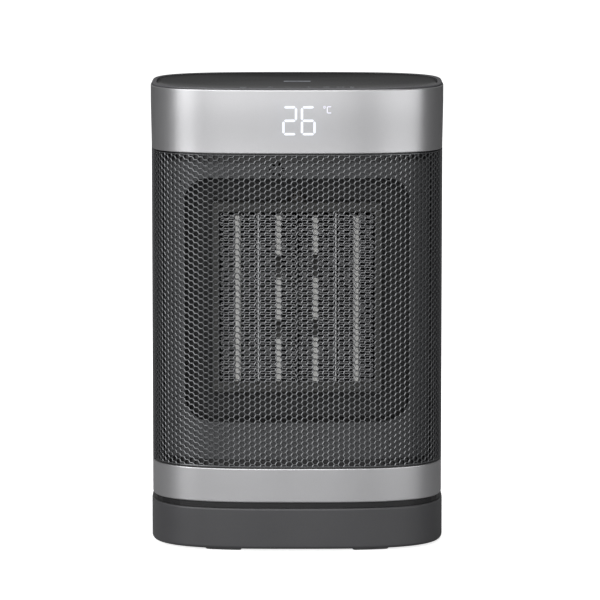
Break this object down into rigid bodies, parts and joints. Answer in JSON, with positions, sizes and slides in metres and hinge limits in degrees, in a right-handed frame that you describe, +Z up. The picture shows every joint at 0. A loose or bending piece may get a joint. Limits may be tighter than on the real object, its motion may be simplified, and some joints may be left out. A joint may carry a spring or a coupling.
{
  "type": "oscillating ceramic space heater",
  "caption": "Compact tabletop ceramic fan heater with a hexagonal mesh front, satin bands, a glossy touch panel on top, a rear grip and a low base on which the body swings.",
  "frame": {"origin": "on the ground under the middle of the base, which is the bottom centre of the whole heater", "axes": "+Z up, the mesh front looks along -Y, and +X points to the right for someone who looks at the front"},
  "size_m": [0.178, 0.12, 0.2819],
  "materials": {
    "base_plastic": "dark grey, fine grain",
    "foot_rubber": "matt black",
    "black_plastic": "matt black",
    "rocker_plastic": "polished black",
    "wire_rubber": "matt black",
    "white_plastic": "natural white",
    "motor_steel": "plated sheet steel",
    "band_silver": "satin silver paint",
    "grille_metal": "dark grey satin paint",
    "housing_plastic": "dark grey, fine grain",
    "filter_wool": "open fibre mat",
    "panel_gloss": "high gloss dark grey",
    "circuit_board": "green solder mask",
    "heat_plastic": "heat resistant, matt",
    "core_ceramic": "unglazed",
    "core_aluminium": "bare"
  },
  "bodies": {
    "base": {"base_shell": "base_plastic", "base_plate": "base_plastic", "foot_front_left": "foot_rubber", "foot_front_right": "foot_rubber", "foot_rear_left": "foot_rubber", "foot_rear_right": "foot_rubber", "cord_gland": "black_plastic", "supply_lead": "wire_rubber", "tip_switch": "white_plastic", "oscillation_motor": "motor_steel"},
    "pinion": {"drive_pinion": "white_plastic"},
    "heater": {"oscillation_gear": "white_plastic", "slide_ring": "white_plastic", "chassis_floor": "black_plastic", "lower_band": "band_silver", "upper_band": "band_silver", "front_grille": "grille_metal", "rear_housing": "housing_plastic", "grip_recess": "black_plastic", "switch_body": "black_plastic", "dust_filter": "filter_wool", "top_cover": "black_plastic", "touch_panel": "panel_gloss", "control_board": "circuit_board", "power_relay": "black_plastic", "display_module": "white_plastic", "baffle": "heat_plastic", "room_sensor": "core_ceramic", "heater_tray": "heat_plastic", "core_frame": "heat_plastic", "ptc_bar_1": "core_ceramic", "ptc_bar_2": "core_ceramic", "ptc_bar_3": "core_ceramic", "ptc_bar_4": "core_ceramic", "electrode_1": "core_aluminium", "electrode_2": "core_aluminium", "electrode_3": "core_aluminium", "fin_bank_1": "core_aluminium", "fin_bank_2": "core_aluminium", "fin_bank_3": "core_aluminium", "fin_bank_4": "core_aluminium", "fin_bank_5": "core_aluminium", "fin_bank_6": "core_aluminium", "fin_bank_7": "core_aluminium", "fin_bank_8": "core_aluminium", "thermal_cutout": "core_ceramic", "fan_shroud": "heat_plastic", "fan_motor": "motor_steel", "motor_bracket": "motor_steel", "terminal_block": "white_plastic", "wiring_harness": "wire_rubber"},
    "fan": {"fan_rotor": "black_plastic"},
    "rocker": {"power_rocker": "rocker_plastic"}
  },
  "joints": [
    {"name": "oscillation", "type": "hinge", "parent": "base", "child": "heater", "pos_m": [0, 0, 0.0265], "axis": [0, 0, 1], "range_deg": [-35, 35]},
    {"name": "pinion_turn", "type": "hinge", "parent": "base", "child": "pinion", "pos_m": [0.03, 0, 0.0192], "axis": [0, 0, 1], "range_deg": [-140, 140]},
    {"name": "fan_turn", "type": "hinge", "parent": "heater", "child": "fan", "pos_m": [0, -0.0062, 0.152], "axis": [0, 1, 0], "continuous": true},
    {"name": "rocker_tilt", "type": "hinge", "parent": "heater", "child": "rocker", "pos_m": [0.048, 0.05674, 0.0518], "axis": [0.9816, -0.1907, 0], "range_deg": [-16, 0]}
  ],
  "couplings": [
    {"joint": "pinion_turn", "follows": "oscillation", "ratio": -4}
  ]
}
